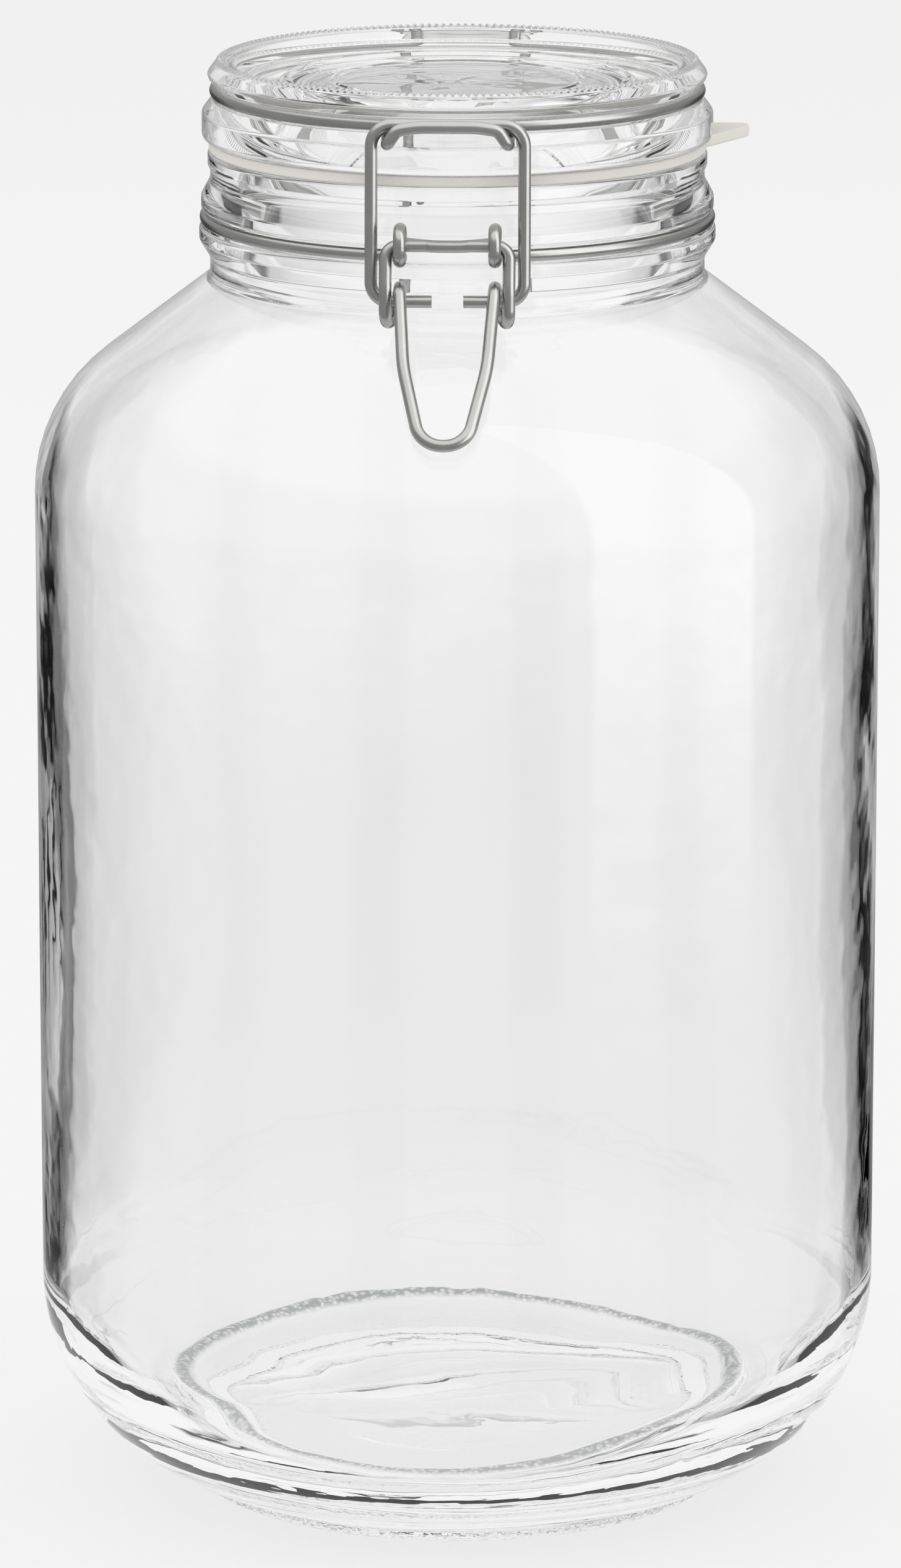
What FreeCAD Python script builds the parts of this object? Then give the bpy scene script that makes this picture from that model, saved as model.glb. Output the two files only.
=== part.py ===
import FreeCAD, Part
import Sketcher
import math
import os

# A clip-top storage jar of clear glass: a round body with a bead-ringed neck, a dished glass lid
# on a rubber sealing ring, and a catch of bent steel wire. The frame is in millimetres, with +Z up
# and the front (the catch) towards -Y. The origin is on the jar's axis, in the plane it stands on.

V = FreeCAD.Vector
doc = FreeCAD.newDocument("clip_top_jar")

# ---------------------------------------------------------------- driving dimensions
SIZES = [
    # the glass body
    ("body_radius", 82.5, "outer radius of the straight wall"),
    ("wall", 2.8, "thickness of the straight wall"),
    ("heel_radius", 41.0, "rounding between the wall and the underside"),
    ("heel_rise", 0.3, "height of the underside above the standing plane"),
    ("foot_inset", 29.4, "from the wall in to the ring the jar stands on"),
    ("foot_width", 6.0, "width of that ring"),
    ("punt_rise", 3.0, "hollow under the middle of the base"),
    ("punt_edge", 1.8, "hollow at the edge of that middle"),
    ("floor_height", 9.0, "inner floor above the standing plane"),
    ("inner_heel_radius", 30.0, "rounding between the wall and the inner floor"),
    ("shoulder_height", 215.1, "where the lines of the wall and the shoulder meet"),
    ("shoulder_radius", 32.7, "rounding between the wall and the shoulder"),
    ("shoulder_slope", 0.76232, "rise of the shoulder for each millimetre inwards"),
    ("shoulder_depth", 4.0, "thickness of the shoulder, measured straight down"),
    # the neck
    ("neck_radius", 48.0, "outer radius of the plain neck"),
    ("neck_wall", 5.5, "thickness of the neck"),
    ("lower_bead_reach", 2.1, "reach of the bead under the neck wire"),
    ("upper_bead_reach", 1.7, "reach of the bead over the neck wire"),
    ("bead_height", 2.6, "height of the flat of each bead"),
    ("bead_root", 6.0, "how far under the groove the neck starts to swell into the beads"),
    ("bead_rounding", 1.0, "rounding of the beads"),
    ("groove_rise", 11.3, "middle of the neck wire's groove above the neck's foot"),
    ("waist_rise", 19.4, "narrowest place under the lip above the neck's foot"),
    ("lip_rise", 24.3, "top of the lip, where the seal lies, above the neck's foot"),
    ("lip_reach", 0.4, "reach of the lip"),
    ("lip_band", 2.7, "height of the lip's outer face"),
    ("lip_rounding", 0.9, "rounding of the lip and flare of the mouth"),
    # the sealing ring
    ("seal_thickness", 2.25, "thickness of the rubber ring"),
    ("seal_inset", 0.2, "from the lip's outer face in to the ring's"),
    ("seal_gap", 0.05, "gap between the rubber and the lip"),
    ("tab_length", 8.2, "reach of the pull tab beyond the ring"),
    ("tab_front", 1.7, "where the tab's front edge leaves the ring"),
    ("tab_tip", 16.5, "where that edge reaches the tip"),
    ("tab_back", 20.0, "the tab's back edge"),
    ("tab_rounding", 1.4, "rounding of the tab's tip"),
    # the lid
    ("plug_gap", 1.6, "gap between the mouth and the ring that drops into it"),
    ("plug_width", 4.4, "width of that ring"),
    ("plug_depth", 2.8, "how far it reaches under the sealing face"),
    ("plug_rounding", 1.1, "rounding of its foot"),
    ("flange_reach", 1.1, "reach of the lid's flange beyond the lip"),
    ("flange_rise", 5.3, "top of the flange's side above the sealing face"),
    ("flange_rounding", 1.3, "rounding of the flange's edges"),
    ("lid_groove_rise", 9.3, "middle of the lid wire's groove above the sealing face"),
    ("lid_groove_depth", 4.2, "floor of that groove, in from the flange's edge"),
    ("rim_inset", 1.15, "from the flange's edge in to the rim's"),
    ("rim_height", 15.5, "top of the rim above the sealing face"),
    ("rim_foot", 1.2, "height above the groove where the rim reaches its full width"),
    ("rim_slope", 2.4, "height under the top where the rim starts to lean in"),
    ("rim_rounding", 0.8, "rounding of the rim's side"),
    ("crown_inset", 2.35, "from the rim's side in to its top edge"),
    ("crown_width", 2.2, "width of the rim's top edge"),
    ("dish_wall", 3.4, "width of the slope from the top edge down to the dish"),
    ("dish_depth", 4.3, "depth of the dish under the rim"),
    ("panel_inset", 7.0, "from the dish's edge in to the raised ring round the middle panel"),
    ("panel_rise", 0.6, "height of that ring"),
    ("lid_thickness", 5.4, "thickness of the middle of the lid"),
    # the wires
    ("gauge", 2.4, "diameter of the wire"),
    ("bedding", 0.3, "gap between a wire and the groove or bead beside it"),
    ("eye_play", 0.3, "gap between a wire and the eye it turns in"),
    ("eye_stretch", 0.5, "how much taller than round the neck wire's eyes are"),
    ("hinge_reach", 4.7, "from the neck back to the hinge"),
    ("hinge_eye_side", 10.1, "half the distance between the lid wire's eyes"),
    ("hinge_leg_gap", 0.9, "gap between those eyes and the neck wire's legs"),
    ("bar_sag", 0.6, "how far the middle of the neck wire's front bar sags"),
    ("eye_side", 8.95, "half the distance between the neck wire's eyes"),
    ("lever_tail", 3.9, "half the gap between the lever's cut ends"),
    ("lever_drop", 10.7, "how far the bail's pivot lies under the lever's"),
    ("lever_lean", 0.3, "how far it lies behind it"),
    ("lever_slack", 1.2, "extra height of the loop that holds the bail"),
    ("handle_reach", 28.0, "from the neck forward to the handle's end"),
    ("handle_fall", 19.8, "from the neck's foot down to the handle's end"),
    ("handle_waist", 7.9, "half the handle's width where it starts to taper"),
    ("handle_tip", 4.3, "half the handle's width at its end"),
    ("bail_leg_gap", 0.4, "gap between the lever's loops and the bail's legs"),
    ("bail_tail", 3.0, "half the gap between the bail's cut ends"),
    ("bail_rise", 0.8, "height of the bail's bar above the lid wire"),
    ("hook_inset", 0.65, "gap between the bail's legs and the lid wire's hook"),
    ("hook_depth", 1.4, "depth of the lid wire's hook under the bail's bar, in gauges"),
    ("catch_gap", 0.3, "gap between the bail's bar and what is beside it"),
]

sheet = doc.addObject("Spreadsheet::Sheet", "Sizes")
for row, (alias, number, meaning) in enumerate(SIZES, start=1):
    sheet.set(f"A{row}", meaning)
    sheet.set(f"B{row}", str(number))
    sheet.setAlias(f"B{row}", alias)
doc.recompute()


def size(alias):
    """The number that the sheet holds under this name."""
    return float(sheet.get(alias))


def worked_out(text):
    """The number that an expression of the sheet's sizes comes to."""
    return float(sheet.evalExpression(text))


# ---------------------------------------------------------------- places that follow from them
neck_height = ("(Sizes.shoulder_height"
               " + (Sizes.body_radius - Sizes.neck_radius) * Sizes.shoulder_slope)")
bore_radius = "(Sizes.neck_radius - Sizes.neck_wall)"
lower_bead_radius = "(Sizes.neck_radius + Sizes.lower_bead_reach)"
upper_bead_radius = "(Sizes.neck_radius + Sizes.upper_bead_reach)"
neck_groove_height = f"({neck_height} + Sizes.groove_rise)"
lip_radius = "(Sizes.neck_radius + Sizes.lip_reach)"
lip_height = f"({neck_height} + Sizes.lip_rise)"
seal_radius = f"({lip_radius} - Sizes.seal_inset)"
seal_face = f"({lip_height} + Sizes.seal_gap + Sizes.seal_thickness)"
plug_radius = f"({bore_radius} - Sizes.plug_gap)"
flange_radius = f"({lip_radius} + Sizes.flange_reach)"
rim_radius = f"({flange_radius} - Sizes.rim_inset)"
rim_top = f"({seal_face} + Sizes.rim_height)"
crown_radius = f"({rim_radius} - Sizes.crown_inset)"
dish_radius = f"({crown_radius} - Sizes.crown_width - Sizes.dish_wall)"
panel_radius = f"({dish_radius} - Sizes.panel_inset)"
lid_groove_height = f"({seal_face} + Sizes.lid_groove_rise)"


# ---------------------------------------------------------------- helpers for the turned glass
def origin_feature(body, role):
    """One of a body's own origin planes or axes."""
    return next(f for f in body.Origin.OriginFeatures if f.Role == role)


def new_sketch(body, name, role="XZ_Plane"):
    """An empty sketch on one of the body's own origin planes."""
    sketch = body.newObject("Sketcher::SketchObject", name)
    sketch.AttachmentSupport = (origin_feature(body, role), [""])
    sketch.MapMode = "FlatFace"
    return sketch


def outline(sketch, corners):
    """Closes a line through corners given as pairs of expressions, each held by its own sizes."""
    places = [[sketch.evalExpression(text) for text in corner] for corner in corners]
    places = [V(float(across), float(up), 0) for across, up in places]
    count = len(places)
    for index in range(count):
        sketch.addGeometry(Part.LineSegment(places[index], places[(index + 1) % count]))
    for index in range(count):
        sketch.addConstraint(Sketcher.Constraint("Coincident", index, 2, (index + 1) % count, 1))
    for index, (across, up) in enumerate(corners):
        for kind, text, value in (("DistanceX", across, places[index].x),
                                  ("DistanceY", up, places[index].y)):
            number = sketch.addConstraint(Sketcher.Constraint(kind, -1, 1, index, 1, value))
            sketch.setExpression(f"Constraints[{number}]", text)
    return sketch


def turn(body, name, corners, kind="PartDesign::Revolution"):
    """Turns an outline about the jar's axis, to add glass or, as a groove, to take it away."""
    sketch = outline(new_sketch(body, name + "_outline"), corners)
    before = body.Shape.Volume if body.Tip else 0.0
    feature = body.newObject(kind, name)
    feature.Profile = sketch
    feature.ReferenceAxis = (sketch, ["V_Axis"])
    feature.Angle = 360
    doc.recompute()
    change = feature.Shape.Volume - before
    if change * (-1 if kind.endswith("Groove") else 1) <= 0:
        raise ValueError(f"{name} changed nothing")
    return feature


def ring_edges(shape, places):
    """The names of the circular edges about the axis with these radii and heights."""
    names = []
    for radius, height in places:
        def miss(edge):
            if not isinstance(edge.Curve, Part.Circle):
                return 1e9
            off_axis = math.hypot(edge.Curve.Center.x, edge.Curve.Center.y)
            return off_axis + abs(edge.Curve.Radius - radius) + abs(edge.Curve.Center.z - height)
        best = min(range(len(shape.Edges)), key=lambda number: miss(shape.Edges[number]))
        if miss(shape.Edges[best]) > 0.01:
            raise ValueError(f"no edge at radius {radius:.2f}, height {height:.2f}")
        names.append(f"Edge{best + 1}")
    return names


def soften(body, name, radius, corners):
    """Rounds the circular edges at the corners of an outline, given as pairs of expressions."""
    base = body.Tip
    places = [[float(base.evalExpression(text)) for text in corner] for corner in corners]
    feature = body.newObject("PartDesign::Fillet", name)
    feature.Base = (base, ring_edges(base.Shape, places))
    feature.setExpression("Radius", radius)
    doc.recompute()
    return feature


# ---------------------------------------------------------------- the glass body
blank = doc.addObject("PartDesign::Body", "jar_blank")

groove_half = "(Sizes.gauge / 2 + Sizes.bedding)"
groove_low = f"{neck_groove_height} - {groove_half}"
groove_high = f"{neck_groove_height} + {groove_half}"
groove_floor = f"{upper_bead_radius} - Sizes.gauge"

wall_foot = ("Sizes.body_radius", "Sizes.heel_rise")
wall_top = ("Sizes.body_radius", "Sizes.shoulder_height")
neck_foot = ("Sizes.neck_radius", neck_height)
bead_root = ("Sizes.neck_radius", f"{groove_low} - Sizes.bead_root")
lower_bead = [(lower_bead_radius, f"{groove_low} - Sizes.bead_height"),
              (lower_bead_radius, groove_low)]
groove = [(groove_floor, groove_low), (groove_floor, groove_high)]
upper_bead = [(upper_bead_radius, groove_high),
              (upper_bead_radius, f"{groove_high} + Sizes.bead_height")]
waist = ("Sizes.neck_radius", f"{neck_height} + Sizes.waist_rise")
lip_foot = (lip_radius, f"{lip_height} - Sizes.lip_band")
lip_top = (lip_radius, lip_height)

# The blank is solid glass inside the jar's outer outline.
turn(blank, "outside", [("0", "Sizes.heel_rise"), wall_foot, wall_top, neck_foot, bead_root,
                        *lower_bead, *groove, *upper_bead, waist, lip_foot, lip_top,
                        ("0", lip_height)])
soften(blank, "heel", "Sizes.heel_radius", [wall_foot])
soften(blank, "shoulder", "Sizes.shoulder_radius", [wall_top])
soften(blank, "neck_root", "Sizes.bead_height", [neck_foot])
soften(blank, "bead_edges", "Sizes.bead_rounding", [*lower_bead, *upper_bead])
soften(blank, "waist_curve", "Sizes.bead_height", [waist])
soften(blank, "lip_edges", "Sizes.lip_rounding", [lip_foot, lip_top])

# The jar stands on a low ring, hollow in the middle. The ring's outline reaches up into the base
# and the hollow's outline starts below it, so that no two faces coincide.
foot_radius = "(Sizes.body_radius - Sizes.foot_inset)"
ring_inner = f"({foot_radius} - Sizes.foot_width)"
ring_top = "Sizes.floor_height / 2"
punt_edge = f"{ring_inner} - Sizes.punt_rise"
below = "-Sizes.punt_rise"
turn(blank, "foot", [(ring_inner, "0"), (foot_radius, "0"), (foot_radius, ring_top),
                     (ring_inner, ring_top)])
turn(blank, "punt", [("0", below), (punt_edge, below), (punt_edge, "Sizes.punt_edge"),
                     ("0", "Sizes.punt_rise")], kind="PartDesign::Groove")

# The hollow is the air inside, flared at the mouth, and is cut out of the blank.
hollow = doc.addObject("PartDesign::Body", "jar_hollow")
inner_wall = "Sizes.body_radius - Sizes.wall"
inner_floor_edge = (inner_wall, "Sizes.floor_height")
inner_wall_top = (inner_wall, "Sizes.shoulder_height + Sizes.wall * Sizes.shoulder_slope"
                              " - Sizes.shoulder_depth")
inner_neck_foot = (bore_radius, f"{neck_height} + Sizes.neck_wall * Sizes.shoulder_slope"
                                " - Sizes.shoulder_depth")
mouth_edge = f"{bore_radius} + Sizes.lip_rounding"
above = f"{lip_height} + Sizes.wall"
turn(hollow, "inside", [("0", "Sizes.floor_height"), inner_floor_edge, inner_wall_top,
                        inner_neck_foot,
                        (bore_radius, f"{lip_height} - Sizes.lip_rounding"),
                        (mouth_edge, lip_height), (mouth_edge, above), ("0", above)])
soften(hollow, "inner_heel", "Sizes.inner_heel_radius", [inner_floor_edge])
soften(hollow, "inner_shoulder", "Sizes.shoulder_radius - Sizes.wall", [inner_wall_top])
soften(hollow, "inner_neck", "Sizes.shoulder_depth", [inner_neck_foot])

jar = doc.addObject("Part::Cut", "jar_glass")
jar.Base = blank
jar.Tool = hollow
doc.recompute()

# ---------------------------------------------------------------- the glass lid
lid = doc.addObject("PartDesign::Body", "lid_glass")

lid_groove_low = f"{lid_groove_height} - {groove_half}"
lid_groove_high = f"{lid_groove_height} + {groove_half}"
lid_groove_floor = f"({flange_radius} - Sizes.lid_groove_depth)"
dish_floor = f"{rim_top} - Sizes.dish_depth"
plug_inner = f"{plug_radius} - Sizes.plug_width"
plug_foot = f"{seal_face} - Sizes.plug_depth"

plug_edges = [(plug_inner, plug_foot), (plug_radius, plug_foot)]
flange_edges = [(flange_radius, seal_face),
                (flange_radius, f"{seal_face} + Sizes.flange_rise")]
rim_low = (rim_radius, f"{lid_groove_high} + Sizes.rim_foot")
rim_high = (rim_radius, f"{rim_top} - Sizes.rim_slope")
crown_outer = (crown_radius, rim_top)
crown_inner = (f"{crown_radius} - Sizes.crown_width", rim_top)
dish_edge = (dish_radius, dish_floor)
underside = f"{dish_floor} - Sizes.lid_thickness"
turn(lid, "lid_blank", [("0", underside), (plug_inner, underside), *plug_edges,
                        (plug_radius, seal_face), *flange_edges,
                        (f"{rim_radius} - Sizes.bedding", lid_groove_low),
                        (lid_groove_floor, lid_groove_low), (lid_groove_floor, lid_groove_high),
                        (f"{rim_radius} - Sizes.rim_foot", lid_groove_high),
                        rim_low, rim_high, crown_outer, crown_inner, dish_edge,
                        ("0", dish_floor)])
soften(lid, "plug_rounding", "Sizes.plug_rounding", plug_edges)
soften(lid, "flange_rounding", "Sizes.flange_rounding", flange_edges)
soften(lid, "rim_rounding", "Sizes.rim_rounding", [rim_low, rim_high])
soften(lid, "dish_rounding", "Sizes.crown_width", [dish_edge])

# A low ring, raised from the dish, frames the bare middle panel.
panel_inner = f"{panel_radius} - 2 * Sizes.panel_rise"
turn(lid, "panel_ring", [(panel_inner, f"{dish_floor} - Sizes.panel_rise"),
                         (panel_radius, f"{dish_floor} - Sizes.panel_rise"),
                         (panel_radius, f"{dish_floor} + Sizes.panel_rise"),
                         (panel_inner, f"{dish_floor} + Sizes.panel_rise")])

# ---------------------------------------------------------------- the rubber sealing ring
seal = doc.addObject("PartDesign::Body", "sealing_ring")
seal.setExpression("Placement.Base.z", f"{lip_height} + Sizes.seal_gap")

ring = new_sketch(seal, "ring_outline", "XY_Plane")
for radius in (seal_radius, f"{plug_radius} + Sizes.bedding"):
    circle = ring.addGeometry(Part.Circle(V(0, 0, 0), V(0, 0, 1), ring.evalExpression(radius)))
    ring.addConstraint(Sketcher.Constraint("Coincident", circle, 3, -1, 1))
    number = ring.addConstraint(Sketcher.Constraint("Radius", circle,
                                                    ring.evalExpression(radius)))
    ring.setExpression(f"Constraints[{number}]", radius)

# The pull tab leaves the ring at a slant and is cut off square at its tip. Its hidden end starts
# on the circle in the middle of the ring.
seal_middle = f"(({seal_radius} + {plug_radius}) / 2)"
tab_reach = f"({seal_radius} + Sizes.tab_length)"
tab_root = f"sqrt({seal_middle}^2 - Sizes.tab_back^2)"
tab = outline(new_sketch(seal, "tab_outline", "XY_Plane"), [
    (seal_middle, "Sizes.tab_front"),
    (seal_radius, "Sizes.tab_front"),
    (tab_reach, "Sizes.tab_tip"),
    (tab_reach, "Sizes.tab_back"),
    (tab_root, "Sizes.tab_back"),
])
for name, sketch in (("ring_pad", ring), ("tab_pad", tab)):
    pad = seal.newObject("PartDesign::Pad", name)
    pad.Profile = sketch
    pad.setExpression("Length", "Sizes.seal_thickness")
    doc.recompute()


def upright_edges(shape, places):
    """The names of the straight upright edges that stand at these places."""
    names = []
    for number, edge in enumerate(shape.Edges, start=1):
        middle = edge.CenterOfMass
        if any(math.hypot(middle.x - x, middle.y - y) < 0.01 for x, y in places):
            names.append(f"Edge{number}")
    return names


tip = seal.newObject("PartDesign::Fillet", "tab_tip_rounding")
tip.Base = (pad, upright_edges(pad.Shape, [(worked_out(tab_reach), size("tab_tip")),
                                           (worked_out(tab_reach), size("tab_back"))]))
tip.setExpression("Radius", "Sizes.tab_rounding")
doc.recompute()


# ---------------------------------------------------------------- helpers for the bent wire
def bent(corners):
    """Straight runs between corners, each corner rounded by the radius that comes with it."""
    edges = []
    start = corners[0][0]
    for (before, _), (corner, radius), (after, _) in zip(corners, corners[1:], corners[2:]):
        arrive = (corner - before).normalize()
        leave = (after - corner).normalize()
        turn_angle = arrive.getAngle(leave)
        reach = radius * math.tan(turn_angle / 2)
        bend_start = corner - arrive * reach
        if (bend_start - start).dot(arrive) < 0:
            raise ValueError(f"the bend at {corner} doesn't fit its run")
        bend_end = corner + leave * reach
        inward = (leave - arrive).normalize()
        middle = corner + inward * (radius / math.cos(turn_angle / 2) - radius)
        edges.append(Part.LineSegment(start, bend_start).toShape())
        edges.append(Part.Arc(bend_start, middle, bend_end).toShape())
        start = bend_end
    edges.append(Part.LineSegment(start, corners[-1][0]).toShape())
    return edges


def hoop_exit(radius, height, side, lead, facing):
    """Where a hoop's arc ends, and the corner that a tangent of this length then reaches."""
    angle = math.asin(side / math.hypot(radius, lead)) + math.atan2(lead, radius)
    end = V(radius * math.sin(angle), facing * radius * math.cos(angle), height)
    corner = end + V(-math.cos(angle), facing * math.sin(angle), 0) * lead
    return end, corner


def hoop(front_end, back_end, radius, height):
    """The right half of a hoop, from its front end round to its back end."""
    return Part.Arc(front_end, V(radius, 0, height), back_end).toShape()


def steel_wire(label, edges):
    """Sweeps the wire's section along its right half and mirrors it to make the whole wire."""
    spine = doc.addObject("Part::Feature", label + "_path")
    spine.Shape = Part.Wire(edges)
    first = spine.Shape.Edges[0]
    section = doc.addObject("Part::Circle", label + "_section")
    section.setExpression("Radius", "Sizes.gauge / 2")
    section.Placement = FreeCAD.Placement(
        first.valueAt(first.FirstParameter),
        FreeCAD.Rotation(V(0, 0, 1), first.tangentAt(first.FirstParameter)))
    half = doc.addObject("Part::Sweep", label + "_half")
    half.Sections = [section]
    half.Spine = (spine, [f"Edge{number + 1}" for number in range(len(spine.Shape.Edges))])
    half.Solid = True
    half.Frenet = False
    other = doc.addObject("Part::Mirroring", label + "_other_half")
    other.Source = half
    other.Normal = V(1, 0, 0)
    whole = doc.addObject("Part::MultiFuse", label)
    whole.Shapes = [half, other]
    whole.Refine = True
    doc.recompute()
    expected = 2 * spine.Shape.Length * math.pi * (size("gauge") / 2) ** 2
    print(f"{label}: volume {whole.Shape.Volume:.1f}, section times length {expected:.1f}")
    return whole


# An eye's middle runs one gauge and the play away from the wire in it. The radii of the bends
# follow from the gauge: the tightest this wire takes, an everyday bend, and one that fills an eye.
gauge = size("gauge")
eye = gauge + size("eye_play")
tight = 0.55 * gauge
soft = 0.8 * gauge
loose = 0.96 * eye
neck_hoop = worked_out(groove_floor) + size("bedding") + gauge / 2
lid_hoop = worked_out(lid_groove_floor) + size("bedding") + gauge / 2
wire_height = worked_out(neck_groove_height)
hinge_height = worked_out(lid_groove_height)
hinge_back = size("neck_radius") + size("hinge_reach")
hinge_eye_side = size("hinge_eye_side")
hinge_leg_side = hinge_eye_side + gauge + size("hinge_leg_gap")

# ---------------------------------------------------------------- the neck wire
# In front it rises into two eyes that carry the lever, joined by a bar; behind it rises into a
# bracket whose top bar is the hinge's pin.
bar_front = worked_out(upper_bead_radius) + size("bedding") + gauge / 2
eye_side = size("eye_side")
eye_top = wire_height + 2 * eye + size("eye_stretch")
lever_pivot = V(0, -(bar_front + eye), (wire_height + eye_top) / 2)
front_end, front_corner = hoop_exit(neck_hoop, wire_height, eye_side, eye, -1)
back_end, back_corner = hoop_exit(neck_hoop, wire_height, hinge_leg_side, eye, 1)
eye_far = lever_pivot.y - eye
sag = V(0, -bar_front, lever_pivot.z - size("bar_sag"))
front_eye = [
    (sag, 0),
    (V(0.3 * eye_side, -bar_front, sag.z), 12 * gauge),
    (V(eye_side, -bar_front, lever_pivot.z), tight),
    (V(eye_side, -bar_front, eye_top), tight),
    (V(eye_side, eye_far, eye_top), loose),
    (V(eye_side, eye_far, wire_height), loose),
    (front_corner, soft),
    (front_end, 0),
]
bracket = [
    (back_end, 0),
    (back_corner, soft),
    (V(hinge_leg_side, hinge_back, wire_height), soft),
    (V(hinge_leg_side, hinge_back, hinge_height), loose),
    (V(0, hinge_back, hinge_height), 0),
]
neck_wire = steel_wire("neck_wire", bent(front_eye)
                       + [hoop(front_end, back_end, neck_hoop, wire_height)] + bent(bracket))

# ---------------------------------------------------------------- the lid wire
# It lies in the lid's groove. Behind it ends in two eyes round the hinge's pin; in front it dips
# under the bail's bar and curls up before it as a hook.
link_side = eye_side + eye
bail_side = link_side + gauge + size("bail_leg_gap")
bail_bar = V(0, -(worked_out(flange_radius) + gauge / 2 + 1.5 * size("catch_gap")),
             hinge_height + size("bail_rise"))
nose_front = bail_bar.y - gauge - size("catch_gap")
hook_side = bail_side - gauge - size("hook_inset")
hook_low = bail_bar.z - size("hook_depth") * gauge
lid_front_end, lid_front_corner = hoop_exit(lid_hoop, hinge_height, hook_side, gauge, -1)
lid_back_end, lid_back_corner = hoop_exit(lid_hoop, hinge_height, hinge_eye_side, gauge, 1)
hook = [
    (V(0, nose_front, bail_bar.z), 0),
    (V(0.5 * hook_side, nose_front, bail_bar.z), 8 * gauge),
    (V(0.84 * hook_side, nose_front, bail_bar.z - 0.25 * gauge), gauge),
    (V(hook_side, nose_front, hook_low), tight),
    (V(hook_side, bail_bar.y, hook_low), gauge),
    (V(hook_side, lid_front_corner.y - soft, hinge_height), tight),
    (lid_front_corner, tight),
    (lid_front_end, 0),
]
hinge_loop = [
    (lid_back_end, 0),
    (lid_back_corner, soft),
    (V(hinge_eye_side, hinge_back - eye, hinge_height), tight),
    (V(hinge_eye_side, hinge_back - eye, hinge_height + eye), tight),
    (V(hinge_eye_side, hinge_back + eye, hinge_height + eye), loose),
    (V(hinge_eye_side, hinge_back + eye, hinge_height - eye), loose),
    (V(hinge_eye_side, hinge_back - 0.6 * eye, hinge_height - eye), 0),
]
lid_wire = steel_wire("lid_wire", bent(hook)
                      + [hoop(lid_front_end, lid_back_end, lid_hoop, hinge_height)]
                      + bent(hinge_loop))

# ---------------------------------------------------------------- the lever
# Its cut ends turn in the neck wire's eyes. Each side goes down, loops back and up round the
# bail's end, and comes forward again as a leg of the U-shaped handle.
bail_pivot = lever_pivot + V(0, size("lever_lean"), -size("lever_drop"))
loop_front = bail_pivot.y - eye
loop_back = bail_pivot.y + eye
loop_low = bail_pivot.z - size("lever_slack") - eye
handle_start = V(eye_side, loop_front, bail_pivot.z + eye)
handle_end = V(0, -(size("neck_radius") + size("handle_reach")),
               worked_out(neck_height) - size("handle_fall"))
handle_run = handle_end - V(0, handle_start.y, handle_start.z)
handle_half = V(0, handle_start.y, handle_start.z) + handle_run * 0.5
lever_half = [
    (V(size("lever_tail"), lever_pivot.y, lever_pivot.z), 0),
    (V(link_side, lever_pivot.y, lever_pivot.z), loose),
    (V(link_side, loop_front, bail_pivot.z + eye), 2.5 * gauge),
    (V(link_side, loop_front, loop_low), loose),
    (V((link_side + eye_side) / 2, loop_back, loop_low), loose),
    (V(eye_side, loop_back, bail_pivot.z + eye), loose),
    (handle_start, loose),
    (handle_half + V(size("handle_waist"), 0, 0), 16 * gauge),
    (handle_end + V(size("handle_tip"), 0, 0), 1.2 * size("handle_tip")),
    (handle_end, 0),
]
lever = steel_wire("lever_wire", bent(lever_half))

# ---------------------------------------------------------------- the bail
# A frame whose cut ends turn in the lever's loops and whose top bar rests in the lid's hook.
bail_half = [
    (V(size("bail_tail"), bail_pivot.y, bail_pivot.z), 0),
    (V(bail_side, bail_pivot.y, bail_pivot.z), 1.5 * gauge),
    (V(bail_side, bail_bar.y, bail_bar.z), 1.65 * gauge),
    (bail_bar, 0),
]
bail = steel_wire("bail_wire", bent(bail_half))

# ---------------------------------------------------------------- checks, then one file a piece
doc.recompute()
for item in doc.Objects:
    if "Invalid" in item.State or "Error" in item.State:
        raise ValueError(f"{item.Label} failed: {item.State}")

os.makedirs("parts", exist_ok=True)
for piece in (jar, lid, seal, neck_wire, lid_wire, lever, bail):
    if piece.Shape.isNull() or not piece.Shape.isValid() or len(piece.Shape.Solids) != 1:
        raise ValueError(f"{piece.Label} is not one valid solid")
    piece.Shape.exportStep(f"parts/{piece.Label}.step")
    box = piece.Shape.BoundBox
    print(f"{piece.Label}: {piece.Shape.Volume / 1000:.2f} cm3, x {box.XMin:.2f} to {box.XMax:.2f},"
          f" y {box.YMin:.2f} to {box.YMax:.2f}, z {box.ZMin:.2f} to {box.ZMax:.2f}")
print(f"lever pivot {lever_pivot}, bail pivot {bail_pivot}, bail bar {bail_bar}")
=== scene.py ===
# %% [markdown]
# # A clip-top storage jar in clear glass
# The object is a round glass jar with a glass lid, a rubber ring between them, and a catch of
# bent steel wire. The CAD model already fixes every size and every joint. This lesson puts new
# surfaces over it: smooth glass that bends light properly, rubber and drawn wire. All lengths
# are written in millimetres, as on a workshop drawing, and turned to metres in one place.

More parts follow.
